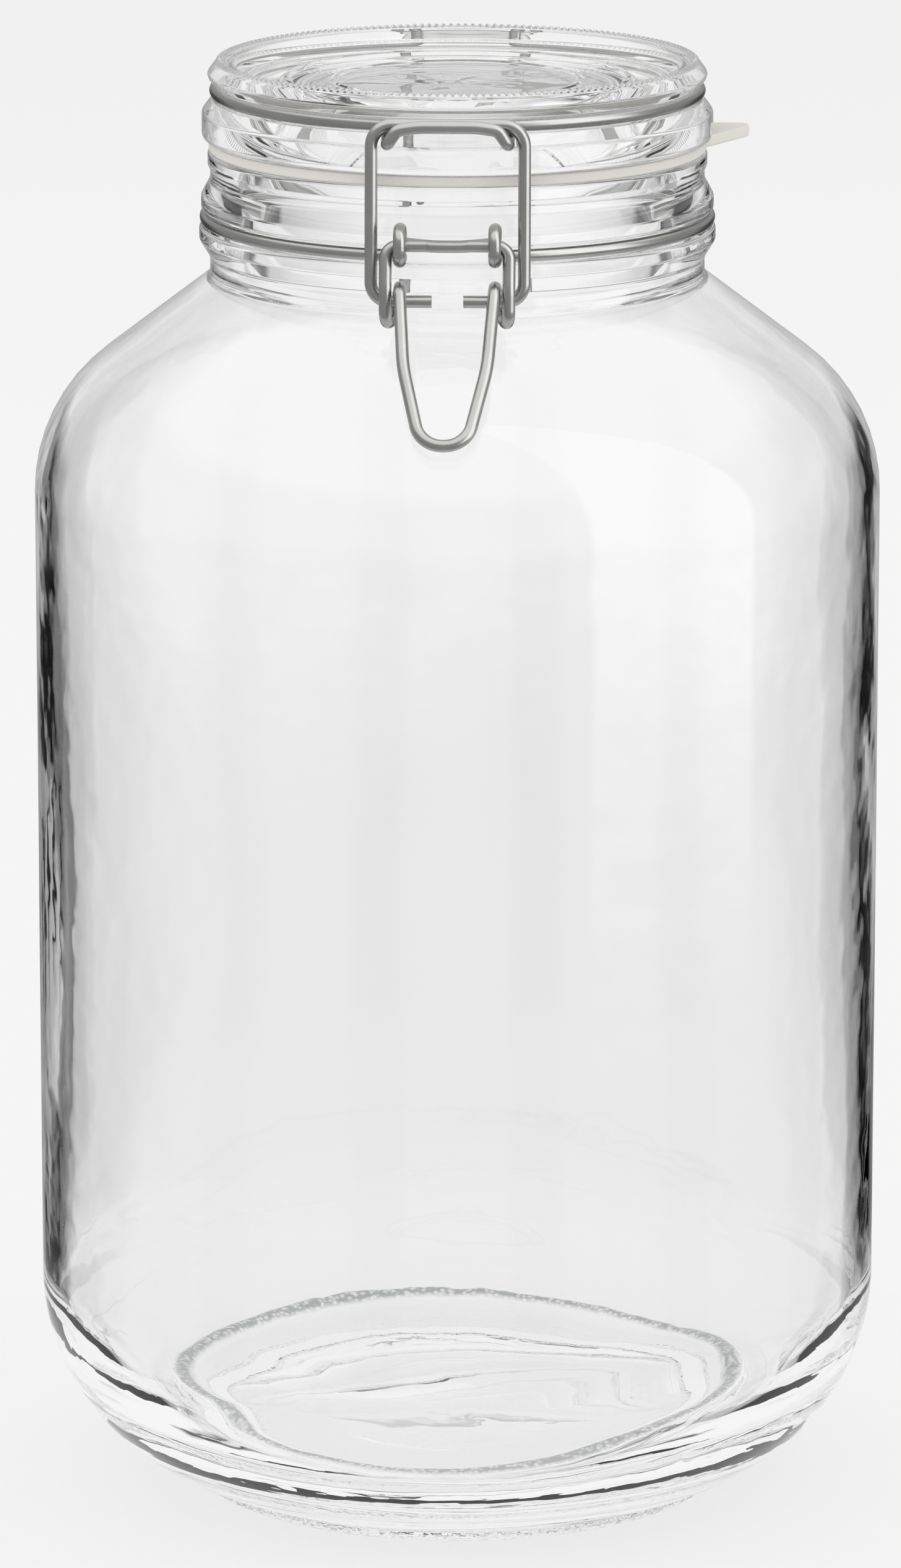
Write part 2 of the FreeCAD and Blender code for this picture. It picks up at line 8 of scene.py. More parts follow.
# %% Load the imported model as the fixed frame
import math
import bpy
import numpy as np
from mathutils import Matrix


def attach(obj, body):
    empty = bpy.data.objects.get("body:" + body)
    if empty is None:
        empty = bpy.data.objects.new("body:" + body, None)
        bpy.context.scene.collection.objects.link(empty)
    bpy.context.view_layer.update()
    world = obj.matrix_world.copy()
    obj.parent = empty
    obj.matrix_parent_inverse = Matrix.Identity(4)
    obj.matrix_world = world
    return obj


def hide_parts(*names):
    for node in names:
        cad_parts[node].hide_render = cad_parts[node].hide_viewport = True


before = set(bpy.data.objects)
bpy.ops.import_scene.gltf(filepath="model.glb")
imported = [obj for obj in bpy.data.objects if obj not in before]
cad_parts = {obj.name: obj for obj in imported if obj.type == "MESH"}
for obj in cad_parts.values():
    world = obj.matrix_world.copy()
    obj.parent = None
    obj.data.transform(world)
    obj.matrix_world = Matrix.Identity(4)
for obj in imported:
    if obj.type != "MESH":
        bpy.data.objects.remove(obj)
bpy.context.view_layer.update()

MM = 0.001
scene = bpy.context.scene

# %% [markdown]
# ## Lines with rounded corners
# A glassmaker's drawing and a wire bender's drawing say the same thing: straight runs, and a
# radius at each corner. So one function serves both. It could be a Blender curve with bevelled
# handles, but here each arc is worked out, because the radii are known.

# %% A line through rounded corners
STRAIGHT_ON = 1e-4  # radians; a smaller bend than this counts as none


def bent_line(corners, run=3.0, turn=9.0):
    """Points along straight runs whose corners are arcs. A corner of radius q between directions
    a and b, at an angle t, is left and joined q*tan(t/2) away from it, and the arc between is
    centre + q*(u*cos + a*sin), with u pointing back at the place where it starts. Each corner
    is (coordinates..., radius); run is the longest step in mm and turn the largest in degrees."""
    places = np.array([corner[:-1] for corner in corners], float)
    radii = [corner[-1] for corner in corners]
    pieces, start = [], places[0]
    for index in range(1, len(places) - 1):
        corner, radius = places[index], radii[index]
        a = (corner - places[index - 1]) / np.linalg.norm(corner - places[index - 1])
        b = (places[index + 1] - corner) / np.linalg.norm(places[index + 1] - corner)
        angle = math.acos(np.clip(a @ b, -1, 1))
        leave = corner - a * radius * math.tan(angle / 2)
        pieces.append(straight(start, leave, run))
        if angle < STRAIGHT_ON or radius <= 0:
            start = corner
            continue
        inward = (b - a) / np.linalg.norm(b - a)
        centre = corner + inward * radius / math.cos(angle / 2)
        steps = max(2, math.ceil(math.degrees(angle) / turn))
        t = np.linspace(0, angle, steps, endpoint=False)[:, None]
        pieces.append(centre + (leave - centre) * np.cos(t) + a * radius * np.sin(t))
        start = corner + b * radius * math.tan(angle / 2)
    pieces.append(straight(start, places[-1], run))
    return np.vstack([*pieces, places[-1:]])


def straight(start, end, run):
    """Evenly spaced points from start up to, but without, end."""
    steps = max(1, math.ceil(np.linalg.norm(end - start) / run))
    return start + (end - start) * np.linspace(0, 1, steps, endpoint=False)[:, None]


# %% [markdown]
# ## Glass as a surface of revolution
# A pressed or blown jar is round because its mould is turned on a lathe. Blender's Screw modifier
# could spin a profile, but worked-out points allow what real glass has: a wall that isn't the
# same thickness everywhere. The grid's rows follow the profile, its columns go round the axis,
# and where the profile meets the axis the row shrinks to one point, so the skin is closed.

# %% A turned skin
ON_AXIS = 1e-9  # mm; a row nearer the axis than this is one point


def turned(name, profile, columns, shape=None):
    """Turns a profile of (radius, height) rows about Z: x = r*cos(t), y = r*sin(t), with t in
    equal steps. columns is the number of steps of each row, one number or one per row; where a
    row has more steps than the next, one face fans over them. shape(r, z, t, row) may move all
    the points, each given its radius, height, angle and row number, as whole arrays."""
    counts = np.broadcast_to(np.asarray(columns), len(profile)).copy()
    counts[profile[:, 0] < ON_AXIS] = 1
    first = np.concatenate([[0], np.cumsum(counts)])
    row = np.repeat(np.arange(len(profile)), counts)
    step = np.arange(first[-1]) - first[row]
    t = 2 * np.pi * step / counts[row]
    r, z = profile[row, 0], profile[row, 1]
    if shape is not None:
        r, z = shape(r, z, t, row)
    places = np.stack([r * np.cos(t), r * np.sin(t), z], axis=1)
    faces = []
    for low in range(len(profile) - 1):
        faces += ring_of_faces(first[low], counts[low], first[low + 1], counts[low + 1])
    return new_mesh(name, places, faces)


def ring_of_faces(low, low_count, high, high_count):
    """The faces between two rows: each spans one step of the row with fewer steps, from the low
    row to the high row, and takes in every point of the other row beside it."""
    few = min((count for count in (low_count, high_count) if count > 1), default=0)
    step = np.arange(few)[:, None]

    def span(start, count):
        if count == 1:
            return np.full((few, 1), start)
        each = count // few
        return start + (step * each + np.arange(each + 1)) % count

    return np.hstack([span(low, low_count), span(high, high_count)[:, ::-1]]).tolist()


def new_mesh(name, places, faces):
    """Puts points in mm and faces into a new object at the origin, smooth shaded."""
    mesh = bpy.data.meshes.new(name)
    mesh.from_pydata((np.asarray(places) * MM).tolist(), [], faces)
    mesh.polygons.foreach_set("use_smooth", np.full(len(mesh.polygons), True))
    mesh.validate()
    mesh.update()
    made = bpy.data.objects.new(name, mesh)
    bpy.context.scene.collection.objects.link(made)
    triangles = sum(len(face) - 2 for face in faces)
    print(f"{name}: {len(places)} points, {triangles} triangles")
    return made


# %% [markdown]
# ## The jar
# The outside is what the mould gives: a foot ring, a large round heel, a straight wall, a round
# shoulder, and a neck with two beads that hold the neck wire. The inside is what the blowing air
# gives: it follows the outside, and leaves a thick floor. A Screw modifier on a drawn profile
# would do for the shape alone. Here the profile is a list of corners and radii, as on a drawing,
# so that each number can be read and the rows can be set closer where the glass needs it.

# %% The jar's outer profile
BODY, WALL = 82.5, 2.8
HEEL, HEEL_RISE = 41.0, 0.3
FOOT, FOOT_WIDTH = 53.1, 6.0
NECK, NECK_Z = 48.0, 241.4
SHOULDER_Z = 215.1
BORE, LIP, LIP_Z = 42.5, 48.4, 265.7
HEEL_STEPS = 22

heel_at_foot = HEEL_RISE + HEEL - math.sqrt(HEEL ** 2 - (FOOT - (BODY - HEEL)) ** 2)
heel_start = math.asin((FOOT + 1.0 - (BODY - HEEL)) / HEEL)
swing = np.linspace(heel_start, math.pi / 2, HEEL_STEPS)[:, None]
heel = np.hstack([BODY - HEEL + HEEL * np.sin(swing),
                  HEEL_RISE + HEEL - HEEL * np.cos(swing)])

# Each corner is (radius from the axis, height, radius of the corner).
foot = bent_line([
    (0, 1.3, 0), (34.0, 1.2, 30.0), (FOOT - FOOT_WIDTH + 0.6, 0.0, 4.0),
    (FOOT - 0.5, 0.0, 0.5), (FOOT, heel_at_foot, 0.5), (*heel[0], 0)], run=2.5, turn=20)
outside = bent_line([
    (*heel[-1], 0), (BODY, SHOULDER_Z, 32.7), (NECK, NECK_Z, 2.6), (NECK, 245.2, 3.0),
    (50.1, 248.6, 1.2), (50.1, 251.2, 0.8), (47.3, 251.2, 0.4), (47.3, 254.2, 0.4),
    (49.7, 254.2, 0.8), (49.7, 256.8, 1.2), (47.9, 260.2, 2.6), (47.9, 262.0, 0.8),
    (LIP, 263.1, 0.5), (LIP, LIP_Z, 0.8), (BORE + 0.9, LIP_Z, 0.8)], run=4.5, turn=7)
print("outer rows: foot", len(foot), "heel", len(heel), "wall to lip", len(outside))

# %% The jar's inner profile
FLOOR_Z, INNER_HEEL = 14.0, 30.0
HEEL_ROWS_END = 60.0  # further in than this, the floor has rows of its own

inside = bent_line([
    (BORE + 0.9, LIP_Z, 0), (BORE, LIP_Z - 1.2, 0.8), (BORE, 241.6, 6.0),
    (BODY - WALL, 213.2, 29.9), (BODY - WALL, FLOOR_Z, INNER_HEEL), (49.7, FLOOR_Z, 0)],
    run=4.5, turn=5)
on_neck = inside[:, 1] > SHOULDER_Z
inside = inside[(inside[:, 0] > HEEL_ROWS_END) | on_neck]
# Close rows where the soft ring and the pressed line lie, wide ones elsewhere.
floor_r = np.concatenate([np.arange(59.0, 50.4, -0.45), np.arange(49.0, 45.0, -1.3),
                          np.arange(44.6, 40.9, -0.4), np.arange(39.0, 1.0, -3.2), [0.0]])
past_flat = np.maximum(floor_r - (BODY - WALL - INNER_HEEL), 0)
floor_z = FLOOR_Z + INNER_HEEL - np.sqrt(INNER_HEEL ** 2 - past_flat ** 2)
inside = np.vstack([inside, np.stack([floor_r, floor_z], axis=1)])
jar_profile = np.vstack([foot[:-1], heel[:-1], outside[:-1], inside])
INNER_ROW = len(foot) + len(heel) + len(outside) - 3
print("profile rows:", len(jar_profile), "of them inside:", len(inside))

# %% [markdown]
# ## Uneven glass
# Blown glass is never quite even. The mould makes the outside nearly true, but the inside slowly
# wanders, thicker here and thinner there, and the floor leans and sags as it cools. That
# wandering breaks straight reflections into the soft shapes of real jars. A Displace modifier
# with a noise could do it, but a few long waves, each with its own size and length, can be set
# one by one and stay smooth, as glass does.

# %% Waves and hills
def waves(angle, height, table):
    """A sum of gentle waves: size * cos(turns * angle + height / length + phase), in mm."""
    return sum(size * np.cos(turns * angle + height / length + phase)
               for size, turns, length, phase in table)


def hill(value, middle, width):
    """A smooth hill, exp(-((value - middle) / width) squared), of height 1 at the middle."""
    return np.exp(-((value - middle) / width) ** 2)


def turn_from(t, degrees):
    """How far each angle is from a bearing, in radians, the short way round."""
    return np.abs(np.angle(np.exp(1j * (t - math.radians(degrees)))))


# Each wave is (size in mm, turns round the jar, length in mm per radian of height, phase).
OUTER_WAVES = [(0.030, 3, 60.0, 0.3), (0.018, 7, 22.0, 1.1), (0.010, 13, 11.0, 2.7)]
INNER_WAVES = [(0.18, 2, 70.0, 0.4), (0.10, 3, -38.0, 1.9), (0.05, 5, 23.0, 4.0),
               (0.025, 9, -15.0, 0.7), (0.012, 14, 10.0, 2.2)]
print("largest waves in mm: outside", sum(w[0] for w in OUTER_WAVES),
      "inside", round(sum(w[0] for w in INNER_WAVES), 3))

# %% How far the wall moves
WALL_FROM, WALL_FULL = 22.0, 52.0    # the waves grow between these heights
WALL_FADES, WALL_TO = 207.0, 232.0   # and fade out between these
THICK_SPOT, SPOT_BEARING, SPOT_Z, SPOT_TALL, SPOT_WIDE = 0.7, 188, 112.0, 38.0, 0.22


def wall_move(z, t, inner):
    """How far the wall moves out from the axis, in mm. The outside moves inward only, by the
    size of its waves. The inside moves by its waves, and inward at one thick spot."""
    grown = np.clip((z - WALL_FROM) / (WALL_FULL - WALL_FROM), 0, 1)
    kept = np.clip((WALL_TO - z) / (WALL_TO - WALL_FADES), 0, 1)
    spot = hill(turn_from(t, SPOT_BEARING), 0, SPOT_WIDE) * hill(z, SPOT_Z, SPOT_TALL)
    inner_move = waves(t, z, INNER_WAVES) - THICK_SPOT * spot
    outer_move = -np.abs(waves(t, z, OUTER_WAVES))
    return grown * kept * np.where(inner, inner_move, outer_move)


# %% How far the inner floor rises
LEAN, EXTRA_LEAN, EXTRA_BEARING, EXTRA_WIDE = 2.6, 1.2, 118, 0.5
SAGS = [(0.30, 2, 1.0, 0.6), (0.22, 3, 1.0, 2.0)]  # taken at height 0, so only the angle counts
RING_HIGH, RING_R, RING_DRIFT, RING_WIDE = 1.5, 55.8, 0.5, 2.1
LINE_HIGH, LINE_R, LINE_SHIFT, LINE_WIDE = 0.16, 42.6, 4.5, 0.8
RIPPLE_HIGH, RIPPLE_LONG, RIPPLE_R = 0.07, 5.0, 30.0
FULL_LEAN_R = 55.0


def floor_rise(r, t):
    """How far the inner floor rises, in mm. It leans up towards the back as sin(angle), more so
    near one bearing, and sags in two long waves. It carries a soft ring, a faint pressed line
    that is a little off centre, and a low ripple across the middle, each a hill in radius."""
    lean = LEAN * np.sin(t) + EXTRA_LEAN * hill(turn_from(t, EXTRA_BEARING), 0, EXTRA_WIDE)
    ring = RING_HIGH * hill(r, RING_R + RING_DRIFT * np.cos(3 * t), RING_WIDE)
    off_centre = np.hypot(r * np.cos(t) - LINE_SHIFT, r * np.sin(t))
    line = LINE_HIGH * hill(off_centre, LINE_R, LINE_WIDE)
    ripple = RIPPLE_HIGH * np.cos(r * np.sin(t) / RIPPLE_LONG) * hill(r, 0, RIPPLE_R)
    out = np.clip(r / FULL_LEAN_R, 0, 1)
    return (lean + waves(t, 0.0, SAGS)) * out + ring + line + ripple


# %% The uneven jar
FLOOR_TO, FLOOR_FADE = 48.0, 30.0
FINE_HIGH, FINE_LONG, FINE_Z, FINE_TALL = 0.16, 1.1, 32.0, 9.0
STREAKS = [(0.26, 2, 3.4, 0.0), (0.14, 5, -2.2, 1.0)]
STREAK_Z, STREAK_TALL = 37.0, 8.0


def uneven_glass(r, z, t, row):
    """Moves the wall, lifts the floor and draws streaks on the inner heel, where the glass was
    pulled. The neck and the foot stay as moulded."""
    inner = row >= INNER_ROW
    on_floor = np.where(inner, np.clip((FLOOR_TO - z) / FLOOR_FADE, 0, 1), 0)
    fine = FINE_HIGH * np.cos(z / FINE_LONG + 2 * np.sin(3 * t)) * hill(z, FINE_Z, FINE_TALL)
    at_back = np.clip(np.sin(t), 0, 1)
    lifted = z + on_floor * floor_rise(r, t)
    on_heel = np.where(inner, hill(lifted, STREAK_Z, STREAK_TALL), 0)
    moved = r + wall_move(z, t, inner) + on_floor * fine * at_back
    return moved + on_heel * waves(t, lifted, STREAKS), lifted


jar_glass = turned("jar_clear_glass", jar_profile, 256, uneven_glass)
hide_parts("jar_glass")
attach(jar_glass, "jar")

# %% [markdown]
# ## The lid
# The lid is pressed in a mould, so its detail is crisp: a plug that drops into the mouth, a
# flange over the rubber, a groove for the lid wire and a dish on top. Round its top edge runs a
# row of small beads, which help the hand to grip it. They could be small spheres set round the
# edge, but then the skin would not be one piece of glass, and light would stop inside it. So the
# edge itself is raised. Each bead is only 1.5 mm wide, so only the few rows that carry them have
# enough columns to show them.

# %% The lid's profile
SEAL_LOW, SEAL_THICK = LIP_Z + 0.05, 2.25
SEAL_Z = SEAL_LOW + SEAL_THICK
TOP_Z = SEAL_Z + 15.5
DISH_Z = TOP_Z - 4.3
LID_WIRE_Z = SEAL_Z + 9.3
FLANGE = 49.5
BEADS, BEAD_SIZE = 200, 0.62
PLAIN_COLUMNS, BEAD_COLUMNS = 200, 8 * BEADS

under = bent_line([
    (0, DISH_Z - 5.4, 0), (31.0, DISH_Z - 5.4, 6.0), (36.5, SEAL_Z - 1.0, 2.0),
    (36.9, SEAL_Z - 2.8, 1.0), (40.9, SEAL_Z - 2.8, 1.2), (40.9, SEAL_Z, 0.5),
    (FLANGE, SEAL_Z, 1.3), (FLANGE, SEAL_Z + 5.3, 1.5), (47.6, LID_WIRE_Z - 1.5, 0.4),
    (45.3, LID_WIRE_Z - 1.5, 0.6), (45.3, LID_WIRE_Z + 1.5, 0.6), (47.3, LID_WIRE_Z + 1.5, 0.4),
    (48.1, LID_WIRE_Z + 2.5, 0.4), (48.35, LID_WIRE_Z + 3.2, 0.4), (48.2, TOP_Z - 2.6, 0.8),
    (47.2, TOP_Z - 1.2, 0.5)], run=3.5, turn=10)
edge = bent_line([(47.2, TOP_Z - 1.2, 0), (46.7, TOP_Z - BEAD_SIZE, 0.4),
                  (45.1, TOP_Z - BEAD_SIZE, 0.4), (44.6, TOP_Z - 0.9, 0)], run=0.22, turn=15)
dish = bent_line([
    (44.6, TOP_Z - 0.9, 0), (43.4, TOP_Z - 1.0, 0.8), (40.4, DISH_Z, 2.6),
    (34.4, DISH_Z, 0.5), (33.6, DISH_Z + 0.6, 0.4), (32.8, DISH_Z + 0.6, 0.4),
    (32.0, DISH_Z, 0.5), (24.6, DISH_Z, 0.4), (24.0, DISH_Z + 0.35, 0.3),
    (23.4, DISH_Z + 0.35, 0.3), (22.8, DISH_Z, 0.4), (0, DISH_Z - 0.4, 0)], run=3.0, turn=12)
lid_profile = np.vstack([under[:-1], edge[:-1], dish])
lid_columns = np.full(len(lid_profile), PLAIN_COLUMNS)
bead_rows = slice(len(under) - 1, len(under) + len(edge) - 2)
lid_columns[bead_rows] = BEAD_COLUMNS
print("lid rows:", len(lid_profile), "with beads:", bead_rows.stop - bead_rows.start)

# %% The beads and the uneven dish
BEAD_MIDDLE, BEAD_HALF = 45.9, 0.85
DISH_ROWS_UNDER, DISH_ROWS_OVER = 12, 20  # the profile's first and last rows
DISH_WAVES = [(0.05, 2, 9.0, 0.2), (0.03, 5, 5.0, 1.3)]
DISH_STILL, DISH_FADE = 40.0, 10.0


def beaded(r, z, t, row):
    """Raises the beads: across the edge their height is that of a circle, the square root of
    1 - (distance / half width) squared, and along it half a cosine wave for each bead. The dish
    drifts up and down by two gentle waves."""
    across = np.clip(1 - ((r - BEAD_MIDDLE) / BEAD_HALF) ** 2, 0, 1)
    along = 0.5 + 0.5 * np.cos(BEADS * t)
    on_edge = (row >= bead_rows.start) & (row < bead_rows.stop)
    z = z + np.where(on_edge, BEAD_SIZE * np.sqrt(across) * along ** 0.7, 0)
    drift = waves(t, r, DISH_WAVES) * np.clip((DISH_STILL - r) / DISH_FADE, 0, 1)
    on_dish = (row < DISH_ROWS_UNDER) | (row >= len(lid_profile) - DISH_ROWS_OVER)
    return r, z + np.where(on_dish, drift, 0)


lid_glass = turned("lid_clear_glass", lid_profile, lid_columns, beaded)
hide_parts("lid_glass")
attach(lid_glass, "lid")

# %% [markdown]
# ## The sealing ring
# A flat ring of pale rubber with a tab to pull when the jar is opened. Its outline is one curve
# round the axis: the ring's circle, and where the tab is, the tab's straight edges seen from the
# middle. A curve with a bevel would pinch at the tab's sharp corners, so one section with soft
# corners is carried round that outline, and only its outer half follows the tab.

# %% The ring's outline
SEAL_IN, SEAL_OUT = 41.2, 48.2
# The tab's corners, x and y: it leaves the ring, widens, and returns behind it.
TAB = np.array([(46.0, 1.0), (48.9, 3.0), (56.4, 16.4), (56.4, 20.0), (41.0, 20.0)])
NEARLY_ZERO, TOUCHING = 1e-9, 1e-6


def edge_distance(angle, start, end):
    """How far out from the axis, at each angle, the line from start to end lies: the distance
    at which the ray and the line cross, or 0 where they cross past the line's ends."""
    d = end - start
    across = np.cos(angle) * d[1] - np.sin(angle) * d[0]
    across = np.where(np.abs(across) < NEARLY_ZERO, NEARLY_ZERO, across)
    far = (start[0] * d[1] - start[1] * d[0]) / across
    hit = far * np.cos(angle) * d[0] + far * np.sin(angle) * d[1] - start @ d
    inside_run = (hit > -TOUCHING) & (hit < d @ d + TOUCHING) & (far > 0)
    return np.where(inside_run, far, 0)


def ring_outline(angle):
    """The rubber's outer radius at each angle: the ring's own, or that of the tab's edge where
    the edge reaches further."""
    tab = bent_line([(*TAB[0], 0), (*TAB[1], 8), (*TAB[2], 1.4), (*TAB[3], 1.4),
                     (*TAB[4], 0)], run=4, turn=10)
    reach = np.full(angle.shape, SEAL_OUT)
    for start, end in zip(tab[:-1], tab[1:]):
        reach = np.maximum(reach, edge_distance(angle, start, end))
    return reach


# Small steps past the tab, from 0.5 to 27.5 degrees, and wider ones round the rest.
tab_angles = np.radians(np.linspace(0.5, 27.5, 150))
rest_angles = np.radians(np.linspace(27.5, 360.5, 300)[1:-1])
angles = np.concatenate([tab_angles, rest_angles])
reach = ring_outline(angles)
print("tab reaches out to", round(float(reach.max()), 1), "mm")

# %% The rubber ring and its tab
SEAL_WIDE, CORNER = SEAL_OUT - SEAL_IN, 0.5
THICK = SEAL_THICK - 0.04  # a hair thinner than its seat, so rubber and glass share no face

section = bent_line([(0, THICK / 2, 0), (0, 0, CORNER), (SEAL_WIDE, 0, CORNER),
                     (SEAL_WIDE, THICK, CORNER), (0, THICK, CORNER), (0, THICK / 2, 0)],
                    run=1.2, turn=18)[:-1]
outer_part = section[:, 0] > SEAL_WIDE / 2
radius = np.where(outer_part, reach[:, None] - (SEAL_WIDE - section[:, 0]),
                  SEAL_IN + section[:, 0])
height = np.broadcast_to(SEAL_LOW + section[:, 1], radius.shape)
ring_places = np.stack([radius * np.cos(angles)[:, None], radius * np.sin(angles)[:, None],
                        height], axis=2)


def closed_grid(name, places):
    """A skin over a grid of points that closes on itself both ways, as a ring's does. The face
    at row i and column j joins it to row i + 1 and column j + 1, counted round."""
    rows, columns = places.shape[:2]
    i, j = np.arange(rows)[:, None], np.arange(columns)[None, :]
    next_i, next_j = (i + 1) % rows, (j + 1) % columns
    quads = np.stack([i * columns + j, next_i * columns + j, next_i * columns + next_j,
                      i * columns + next_j], axis=-1)
    return new_mesh(name, places.reshape(-1, 3), quads.reshape(-1, 4).tolist())


seal = closed_grid("seal_moulded_rubber", ring_places[:, ::-1])
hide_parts("sealing_ring")
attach(seal, "lid")

# %% [markdown]
# ## Colours and nodes
# Colours are written as the hex values that a paint program shows, and one function turns them
# to the linear values that Cycles works in. A second one adds a node with its settings and links.
# Nodes could be drawn by hand in the shader editor, but written out they can be read in order.

# %% Helpers for materials
def colour(hex_value):
    """An sRGB hex value as linear red, green, blue and full opacity: v / 12.92 for the darkest
    values, and ((v + 0.055) / 1.055) to the power 2.4 for the rest."""
    values = [int(hex_value[i:i + 2], 16) / 255 for i in (1, 3, 5)]
    linear = [v / 12.92 if v <= 0.04045 else ((v + 0.055) / 1.055) ** 2.4 for v in values]
    return (*linear, 1.0)


def add(tree, kind, settings=None, inputs=None):
    """A node of this kind. settings are its own properties; inputs are its sockets, by name or
    number, each given a value, or linked to a socket or to the first output of a node."""
    made = tree.nodes.new(kind)
    for key, value in (settings or {}).items():
        setattr(made, key, value)
    for key, value in (inputs or {}).items():
        if isinstance(value, bpy.types.Node):
            value = value.outputs[0]
        if isinstance(value, bpy.types.NodeSocket):
            tree.links.new(value, made.inputs[key])
        else:
            made.inputs[key].default_value = value
    return made


def new_material(name):
    """An empty node material and its tree."""
    made = bpy.data.materials.new(name)
    made.use_nodes = True
    made.node_tree.nodes.clear()
    print("material:", made.name)
    return made, made.node_tree


# Settings that several nodes share. A smooth step goes as t * t * (3 - 2 * t).
SMOOTH = {"interpolation_type": "SMOOTHSTEP"}
MULTIPLY = {"operation": "MULTIPLY"}
MIX_COLOURS, MIX_VALUES = {"data_type": "RGBA"}, {"data_type": "FLOAT"}
print("mid grey in linear light:", round(colour("#808080")[0], 3))

# %% [markdown]
# ## Clear soda-lime glass, moulded and fire-polished
# The common glass of jars: refractive index 1.52, hardly any colour, and a skin that the flame
# has polished. The eye reads it by its edges, where light is bent furthest, so the shape above
# does most of the work. What is left is a faint orange-peel from the mould on the outside, and a
# fine stipple, on the foot ring, where it hides scratches from the shelf, and on the soft ring of
# the inner floor, where it turns the clear glass to a faint frosted line. That ring is also
# tinted
# grey at the dots: painted shade, standing in for the dark that light bent away there gives.

# %% Where the glass is stippled
# Each edge is (which distance, mm where the mask is 0, mm where it is 1, how it steps).
FOOT_BAND = [("height", 2.2, 1.2, "LINEAR"), ("radius", 46.0, 47.2, "LINEAR")]
# The ring band also places the painted shade on the floor's ring.
RING_BAND = [("radius", 53.5, 55.0, "SMOOTHSTEP"), ("radius", 58.3, 56.8, "SMOOTHSTEP"),
             ("height", 8.0, 9.5, "LINEAR"), ("height", 24.0, 22.0, "LINEAR")]


def distances(tree, place):
    """The height of a place, and its distance from the axis: the root of x*x + y*y."""
    split = add(tree, "ShaderNodeSeparateXYZ", {}, {0: place})
    flat = add(tree, "ShaderNodeCombineXYZ", {}, {"X": split.outputs["X"],
                                                  "Y": split.outputs["Y"]})
    radius = add(tree, "ShaderNodeVectorMath", {"operation": "LENGTH"}, {0: flat})
    return {"height": split.outputs["Z"], "radius": radius.outputs["Value"]}


def band_mask(tree, measured, band):
    """A mask that is 1 inside every edge of the band: the product of its steps."""
    mask = 1.0
    for which, none, full, step in band:
        edge = add(tree, "ShaderNodeMapRange", {"interpolation_type": step}, {
            "Value": measured[which], "From Min": none * MM, "From Max": full * MM})
        mask = add(tree, "ShaderNodeMath", MULTIPLY, {0: mask, 1: edge})
    return mask


# %% The glass
PEEL = 11.1      # mm, one wave of the orange-peel
STIPPLE = 1.11   # mm between dots; real ones lie closer, but would not show at this distance


def glass_material():
    """Smooth clear glass. The peel tilts its surface a little everywhere, and inside the masks
    the stipple tilts and roughens it. On the floor's ring it also tints the glass grey at the
    dots:
    painted shade."""
    made, tree = new_material("soda_lime_glass_moulded")
    place = add(tree, "ShaderNodeTexCoord").outputs["Object"]
    peel = add(tree, "ShaderNodeTexNoise", {}, {"Vector": place, "Scale": 1 / (PEEL * MM),
                                                "Detail": 1.5})
    dots = add(tree, "ShaderNodeTexVoronoi", {}, {"Vector": place, "Scale": 1 / (STIPPLE * MM)})
    dots = dots.outputs["Distance"]
    measured = distances(tree, place)
    ring = band_mask(tree, measured, RING_BAND)
    stippled = add(tree, "ShaderNodeMath", {"operation": "MAXIMUM"},
                   {0: band_mask(tree, measured, FOOT_BAND), 1: ring})
    relief = add(tree, "ShaderNodeMath", MULTIPLY, {0: dots, 1: stippled})
    waved = add(tree, "ShaderNodeBump", {}, {"Strength": 0.035, "Distance": 2.0 * MM,
                                             "Height": peel.outputs["Fac"]})
    dotted = add(tree, "ShaderNodeBump", {}, {"Strength": 0.5, "Distance": 0.6 * MM,
                                              "Height": relief, "Normal": waved})
    rough = add(tree, "ShaderNodeMapRange", {}, {"Value": stippled, "To Min": 0.0,
                                                 "To Max": 0.22})
    speck = add(tree, "ShaderNodeMapRange", {}, {"Value": dots, "From Min": 0.0,
                                                 "From Max": 0.6})
    # Painted shade: on the floor's ring the glass is tinted grey at the stipple's dots, standing
    # in for the dark that light bent away there gives.
    shade = add(tree, "ShaderNodeMath", MULTIPLY, {0: ring, 1: speck})
    ring_painted_shade = add(tree, "ShaderNodeMix", MIX_COLOURS,
               {"Factor": shade, "A": colour("#FDFDFD"), "B": colour("#7B8082")})
    shader = add(tree, "ShaderNodeBsdfPrincipled", {}, {
        "Base Color": ring_painted_shade.outputs["Result"], "Roughness": rough, "IOR": 1.52,
        "Transmission Weight": 1.0, "Normal": dotted})
    add(tree, "ShaderNodeOutputMaterial", {}, {"Surface": shader})
    return made


glass = glass_material()
jar_glass.data.materials.append(glass)
lid_glass.data.materials.append(glass)

# %% [markdown]
# ## Food rubber, moulded
# The sealing ring is natural rubber filled with white chalk and pressed in a hot mould. The eye
# sees a matt, warm off-white with no sharp highlight, and slightly soft edges, because light
# enters the rubber a little way. A plain diffuse colour would look like paper, so a little
# subsurface is mixed in, with a fine grain from the mould and a faint cloud from the mixing.

# %% The rubber
RUBBER_GRAIN, RUBBER_CLOUD = 0.714, 16.7  # mm; the real grain is finer and would not show


